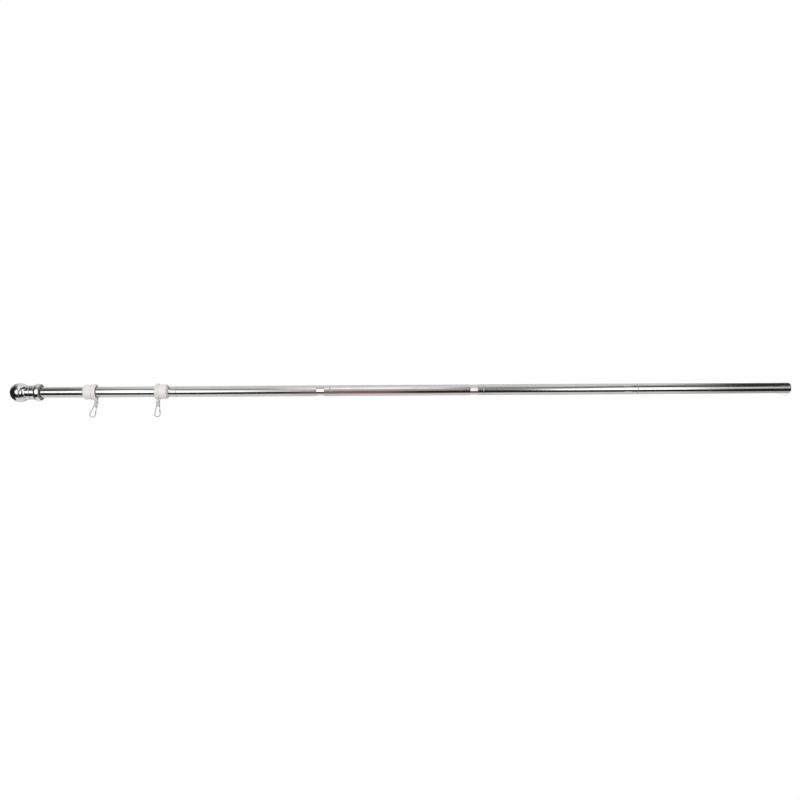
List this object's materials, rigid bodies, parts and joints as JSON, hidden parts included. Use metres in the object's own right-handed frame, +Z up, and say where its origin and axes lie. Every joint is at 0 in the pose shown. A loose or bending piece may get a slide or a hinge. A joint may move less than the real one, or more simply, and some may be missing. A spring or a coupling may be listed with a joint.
{
  "type": "flagpole",
  "caption": "Sectional flagpole: polished tubes screwed end to end, a ball finial, and swivel rings whose hanging snap clips hold a flag.",
  "frame": {"origin": "centre of the pole's flat foot, where the pole is held", "axes": "+Z up the pole to the ball, -X the way the upper ring's lug points"},
  "size_m": [0.083, 0.0456, 1.8287],
  "materials": {
    "steel_tube": "polished to a mirror, with faint lines along the tube",
    "joint_alloy": "turned",
    "plug_plastic": "smooth black",
    "finial_chrome": "bright plate",
    "ring_plastic": "milky, slightly translucent moulding",
    "collar_plastic": "milky moulding",
    "clip_plastic": "clear moulding",
    "pin_steel": "bright"
  },
  "bodies": {
    "pole": {"tube_bottom": "steel_tube", "tube_lower": "steel_tube", "tube_middle": "steel_tube", "tube_upper": "steel_tube", "tube_top": "steel_tube", "joint_plug_1": "joint_alloy", "joint_plug_2": "joint_alloy", "joint_plug_3": "joint_alloy", "joint_plug_4": "joint_alloy", "joint_socket_1": "joint_alloy", "joint_socket_2": "joint_alloy", "joint_socket_3": "joint_alloy", "joint_socket_4": "joint_alloy", "foot_plug": "plug_plastic", "finial_ball": "finial_chrome", "finial_neck": "finial_chrome", "finial_cup": "finial_chrome", "collar_upper": "collar_plastic", "collar_lower": "collar_plastic"},
    "upper_ring": {"ring_upper": "ring_plastic"},
    "lower_ring": {"ring_lower": "ring_plastic"},
    "upper_clip": {"clip_upper": "clip_plastic", "gate_pin_upper": "pin_steel"},
    "lower_clip": {"clip_lower": "clip_plastic", "gate_pin_lower": "pin_steel"},
    "upper_gate": {"clip_gate_upper": "clip_plastic"},
    "lower_gate": {"clip_gate_lower": "clip_plastic"}
  },
  "joints": [
    {"name": "upper_ring_spin", "type": "hinge", "parent": "pole", "child": "upper_ring", "pos_m": [0, 0, 1.628], "axis": [0, 0, 1], "continuous": true},
    {"name": "upper_clip_swing", "type": "hinge", "parent": "upper_ring", "child": "upper_clip", "pos_m": [-0.0273, 0, 1.628], "axis": [0, 1, 0], "range_deg": [-104, 66]},
    {"name": "upper_gate_open", "type": "hinge", "parent": "upper_clip", "child": "upper_gate", "pos_m": [-0.03439, 0, 1.62706], "axis": [0, 1, 0], "range_deg": [0, 25]},
    {"name": "lower_ring_spin", "type": "hinge", "parent": "pole", "child": "lower_ring", "pos_m": [0, 0, 1.4803], "axis": [0, 0, 1], "continuous": true},
    {"name": "lower_clip_swing", "type": "hinge", "parent": "lower_ring", "child": "lower_clip", "pos_m": [-0.02637, -0.00707, 1.4803], "axis": [-0.2588, 0.9659, 0], "range_deg": [-84, 86]},
    {"name": "lower_gate_open", "type": "hinge", "parent": "lower_clip", "child": "lower_gate", "pos_m": [-0.0325, -0.00871, 1.47699], "axis": [-0.2588, 0.9659, 0], "range_deg": [0, 25]}
  ]
}
